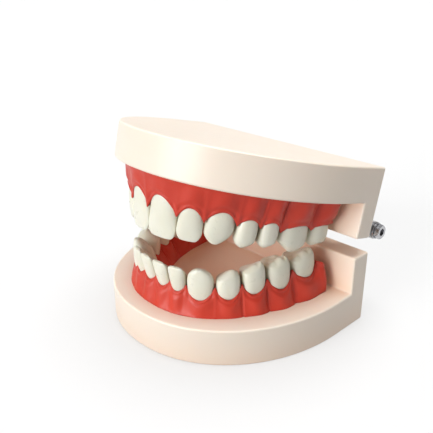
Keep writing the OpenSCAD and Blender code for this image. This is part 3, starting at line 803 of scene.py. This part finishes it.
def gum_ring(jaw, s, left):
    """Section of the gum at distance s, left being what remains to its end."""
    g = gum_sizes(jaw, s)
    steps = [k / LIP_STEPS for k in range(LIP_STEPS + 1)]
    pts = cheek_side(g) + lip(g.out_top - RIM, g.edge_z, RIM - RIM_STEP, g.up, steps[1:])
    pts += crest(g)
    pts += lip(g.in_top + RIM, g.inner_z, INNER_RIM_STEP - RIM, g.up, [1 - t for t in steps])
    pts += tongue_side(g, GUM_SECTION - len(pts))

    (cx, cy), (nx, ny) = place(jaw, s), outward(jaw, s, 1.0)
    mid = (g.foot_out + g.foot_in) / 2
    narrow = mix(END_WIDTH, 1.0, math.sqrt(1 - (1 - clamp(left / jaw["end_round"])) ** 2))
    fall = jaw["end_drop"] * (1 - clamp(left / END_FALL)) ** 2
    lean = jaw["end_lean"] * smoothstep(abs(s), jaw["ends"][-1] + LEAN_START, jaw["s_end"])
    ring = []
    for off, z in pts:
        h = clamp((z - g.foot_z) / (g.edge_z - g.foot_z))
        across = smoothstep(g.out_top - HUMP_IN - off, 0.0, HUMP_SPREAD)
        hump = g.hump * h ** 3 * across
        off = mid + (off - mid) * narrow
        z = g.foot_z + (z - g.foot_z) * (1 - fall * h) + hump * g.up
        ring.append((cx + nx * off, cy + ny * off + lean * (h - LEAN_PIVOT), z))
    return ring


def build_gum(jaw):
    """Sections from the right end to the left, closer together near the ends."""
    end = jaw["s_end"] + END_EXTRA
    verts = []
    for k in range(GUM_STATIONS + 1):
        f = 2 * k / GUM_STATIONS - 1
        s = end * ((1 + END_CROWDING) * f - END_CROWDING * f ** 3)
        verts += gum_ring(jaw, s, end - abs(s))
    faces = loft_faces(GUM_STATIONS + 1, GUM_SECTION, close_ends=True)
    obj = add_piece(jaw["name"] + "_gum_skin", verts, faces, jaw_place(jaw), jaw["body"], GUM_MAT)
    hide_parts(jaw["name"] + "_gum")


# ---------------------------------------------------------------- hinge

HINGE_LOOKS = {
    "hinge_pin": CHROME_MAT, "hinge_nut": CHROME_MAT, "hinge_washers": CHROME_MAT,
    "lower_bracket": STEEL_MAT, "upper_bracket_left": STEEL_MAT,
    "upper_bracket_right": STEEL_MAT, "lower_bracket_screws": SCREW_MAT,
    "upper_bracket_screws": SCREW_MAT,
}
HINGE_EDGE_ROUND = 0.12


def dress_hinge():
    """The hinge keeps its CAD shapes, with metal and finely broken edges."""
    for name, mat in HINGE_LOOKS.items():
        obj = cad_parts[name]
        obj.data.materials.clear()
        obj.data.materials.append(mat)
        add_bevel(obj, "broken_edges", HINGE_EDGE_ROUND, segments=2, least_turn=40)


# ---------------------------------------------------------------- camera, light, floor

CAMERA_TARGET = Vector((-21.69, 23.80, 17.49))
CAMERA_DISTANCE = 208.65
CAMERA_AZIMUTH, CAMERA_ELEVATION = 45.714, 22.967
SENSOR_WIDTH, LENS = 36.0, 48.14605

WORLD_LIGHT = 0.37
SUNS = {    # azimuth, elevation and width in degrees, then strength
    "key": (180, 80, 45, 2.85),
    "fill": (-6, 12, 40, 2.8),
}
MOUTH_LIGHT = 0.0018        # watts
MOUTH_LIGHT_COLOUR = (1.0, 0.52, 0.36)
MOUTH_LIGHT_PLACE = Vector((0.0, 4.0, 27.0))
MOUTH_LIGHT_RADIUS = 7.0
FLOOR_GREY, FLOOR_GLOW = 0.36, 0.465
FLOOR_HALF, BACKDROP_H = 3.0, 4.0           # metres


def direction(azimuth, elevation):
    """Unit vector towards a place round the model, azimuth 0 being its front."""
    a, e = math.radians(azimuth), math.radians(elevation)
    return Vector((math.sin(a) * math.cos(e), -math.cos(a) * math.cos(e), math.sin(e)))


def facing_back(towards):
    """Rotation of a camera or light that looks against a direction."""
    return towards.to_track_quat("Z", "Y").to_euler()


def build_camera():
    data = bpy.data.cameras.new("camera")
    data.sensor_width = SENSOR_WIDTH
    data.lens = LENS
    data.clip_start, data.clip_end = 0.01, 10.0
    cam = link(bpy.data.objects.new("camera", data))
    back = direction(CAMERA_AZIMUTH, CAMERA_ELEVATION)
    cam.location = (CAMERA_TARGET + back * CAMERA_DISTANCE) * MM
    cam.rotation_euler = facing_back(back)
    bpy.context.scene.camera = cam


def add_light(name, kind, energy):
    data = bpy.data.lights.new(name, kind)
    data.energy = energy
    return link(bpy.data.objects.new(name, data)), data


def build_studio_light():
    world = bpy.data.worlds.new("studio")
    world.use_nodes = True
    world.node_tree.nodes["Background"].inputs[0].default_value = (1, 1, 1, 1)
    world.node_tree.nodes["Background"].inputs[1].default_value = WORLD_LIGHT
    bpy.context.scene.world = world
    bpy.context.scene.view_settings.view_transform = "Standard"
    for name, (azimuth, elevation, width, strength) in SUNS.items():
        sun, data = add_light(name, "SUN", strength)
        data.angle = math.radians(width)
        sun.rotation_euler = facing_back(direction(azimuth, elevation))


def build_mouth_light():
    """A weak warm light for what the gums and bases throw back into the mouth."""
    lamp, data = add_light("mouth_bounce", "POINT", MOUTH_LIGHT)
    data.color = MOUTH_LIGHT_COLOUR
    data.shadow_soft_size = MOUTH_LIGHT_RADIUS * MM
    lamp.location = MOUTH_LIGHT_PLACE * MM
    lamp.visible_glossy = False


def add_stage(name, verts, faces, grey, glow):
    """A matt surface with a glow of its own that throws no light on the model."""
    mesh = bpy.data.meshes.new(name)
    mesh.from_pydata(verts, [], faces)
    obj = link(bpy.data.objects.new(name, mesh))
    mat, nodes, _ = new_material(name)
    shader = nodes["Principled BSDF"]
    shader.inputs["Base Color"].default_value = (grey, grey, grey, 1)
    shader.inputs["Roughness"].default_value = 0.9
    shader.inputs["Emission Color"].default_value = (1, 1, 1, 1)
    shader.inputs["Emission Strength"].default_value = glow
    mesh.materials.append(mat)
    obj.visible_diffuse = False
    return obj


def build_stage():
    """The floor, and four white walls round it that only the camera sees."""
    r = FLOOR_HALF
    corners = [(-r, -r), (r, -r), (r, r), (-r, r)]
    add_stage("floor", [(x, y, 0) for x, y in corners], [(0, 1, 2, 3)], FLOOR_GREY, FLOOR_GLOW)
    walls = add_stage("backdrop", [(x, y, z) for z in (0, BACKDROP_H) for x, y in corners],
                      [(k, (k + 1) % 4, 4 + (k + 1) % 4, 4 + k) for k in range(4)], 0.0, 1.0)
    walls.visible_shadow = False
    walls.visible_glossy = False


# ---------------------------------------------------------------- the whole model

build_base(LOWER, 0.0, LOWER_PLATE_T, LOWER_WALL_TOP)
build_base(UPPER, UPPER_WALL_DROP + UPPER_PLATE_T, UPPER_WALL_DROP, 0.0)
for jaw in (LOWER, UPPER):
    lay_out_arch(jaw)
    build_teeth(jaw)
    build_gum(jaw)
dress_hinge()
build_camera()
build_studio_light()
build_mouth_light()
build_stage()
